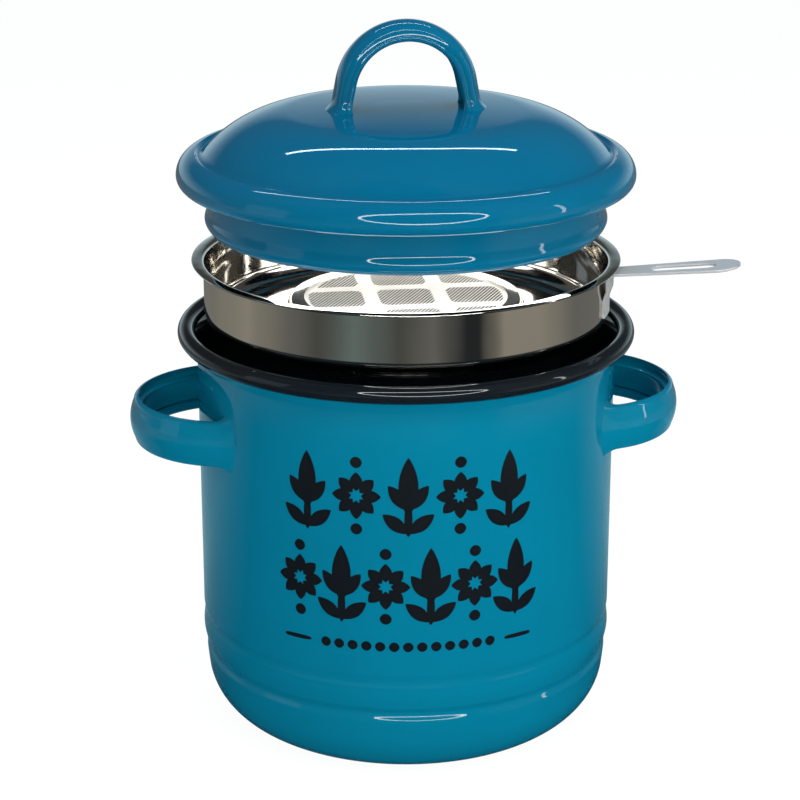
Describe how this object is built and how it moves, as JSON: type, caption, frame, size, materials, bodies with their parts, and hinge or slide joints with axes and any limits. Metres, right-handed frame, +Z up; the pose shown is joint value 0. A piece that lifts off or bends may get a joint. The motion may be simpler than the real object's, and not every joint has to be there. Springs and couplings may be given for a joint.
{
  "type": "lidded grease pot with strainer",
  "caption": "Enamelled cylindrical pot with loop side handles, a lift-out steel strainer with a flat strip handle, and a domed lid with a bow handle.",
  "frame": {"origin": "middle of the pot's base, on the face it stands on", "axes": "+Z up along the pot's axis, +X through the right side handle, -Y to the front"},
  "size_m": [0.1745, 0.1358, 0.2126],
  "materials": {
    "blue_enamel": "glossy fired blue enamel on pressed steel",
    "black_enamel": "glossy fired black enamel on pressed steel",
    "polished_steel": "polished stainless sheet",
    "perforated_steel": "perforated stainless sheet",
    "satin_steel": "satin stainless strip"
  },
  "bodies": {
    "pot": {"pot_shell": "blue_enamel", "pot_lining": "black_enamel", "rim_roll": "black_enamel", "handle_right": "blue_enamel", "handle_left": "blue_enamel", "handle_fillets_right": "blue_enamel", "handle_fillets_left": "blue_enamel"},
    "strainer": {"strainer_pan": "polished_steel", "strainer_mesh": "perforated_steel", "strainer_handle": "satin_steel"},
    "lid": {"lid_shell": "blue_enamel", "lid_collar": "blue_enamel", "lid_lining": "black_enamel", "lid_handle": "blue_enamel", "lid_handle_fillets": "blue_enamel"}
  },
  "joints": [
    {"name": "strainer_lift", "type": "slide", "parent": "pot", "child": "strainer", "axis": [0, 0, 1], "range_m": [-0.0178, 0.06]},
    {"name": "lid_lift", "type": "slide", "parent": "strainer", "child": "lid", "axis": [0, 0, 1], "range_m": [-0.0219, 0.06]}
  ]
}
